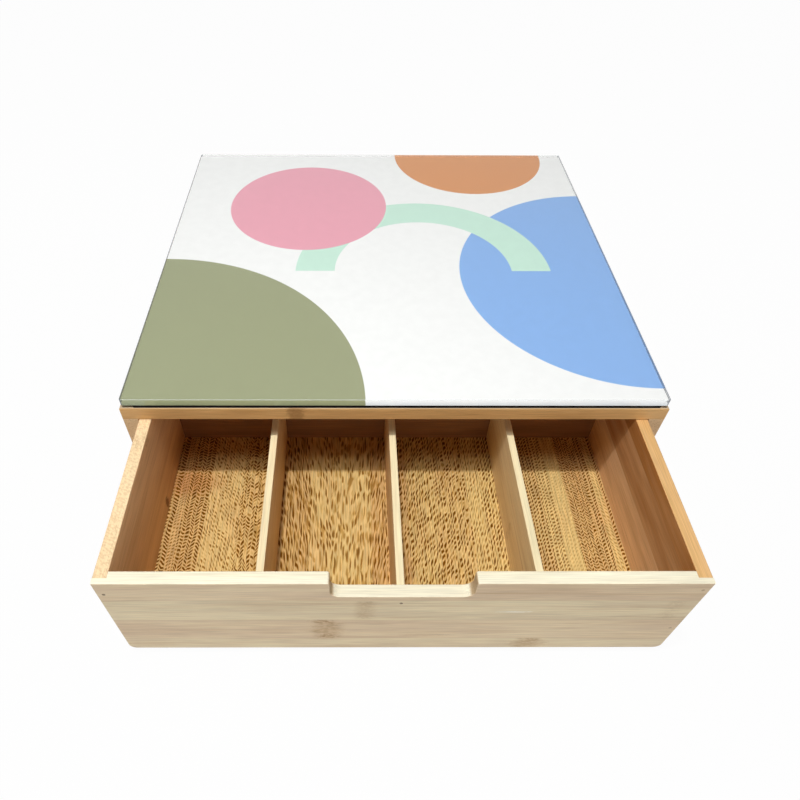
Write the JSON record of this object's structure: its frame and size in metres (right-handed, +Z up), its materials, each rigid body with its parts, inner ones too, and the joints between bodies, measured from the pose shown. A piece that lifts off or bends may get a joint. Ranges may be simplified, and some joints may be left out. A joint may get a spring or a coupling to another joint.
{
  "type": "tea bag drawer box",
  "caption": "Low bamboo box with one wide divided drawer that pulls out at the front by a finger notch, under a printed glass top plate.",
  "frame": {"origin": "centre of the case's underside, the flat face that it stands on", "axes": "+Z up, +X to the right seen from the front, +Y from the drawer's front towards the case's back"},
  "size_m": [0.3, 0.378, 0.0947],
  "materials": {
    "case_bamboo": "clear satin lacquer",
    "drawer_bamboo": "clear satin lacquer",
    "floor_veneer": "clear satin lacquer",
    "glass": "polished, printed on the underside",
    "tape": "matt black",
    "brad_steel": "plain steel"
  },
  "bodies": {
    "case": {"case_top_panel": "case_bamboo", "case_left_side": "case_bamboo", "case_right_side": "case_bamboo", "case_back_panel": "case_bamboo", "case_bottom_panel": "case_bamboo", "glass_top": "glass", "glass_tape_front": "tape", "glass_tape_back": "tape", "glass_tape_left": "tape", "glass_tape_right": "tape", "case_top_brads": "brad_steel", "case_bottom_brads": "brad_steel", "case_back_brads": "brad_steel"},
    "drawer": {"drawer_front": "drawer_bamboo", "drawer_left_side": "drawer_bamboo", "drawer_right_side": "drawer_bamboo", "drawer_back": "drawer_bamboo", "drawer_bottom": "floor_veneer", "divider_left": "drawer_bamboo", "divider_middle": "drawer_bamboo", "divider_right": "drawer_bamboo", "cross_partition": "drawer_bamboo", "drawer_front_brads": "brad_steel", "drawer_back_brads": "brad_steel"}
  },
  "joints": [
    {"name": "drawer_slide", "type": "slide", "parent": "case", "child": "drawer", "axis": [0, -1, 0], "range_m": [-0.098, 0.135]}
  ]
}
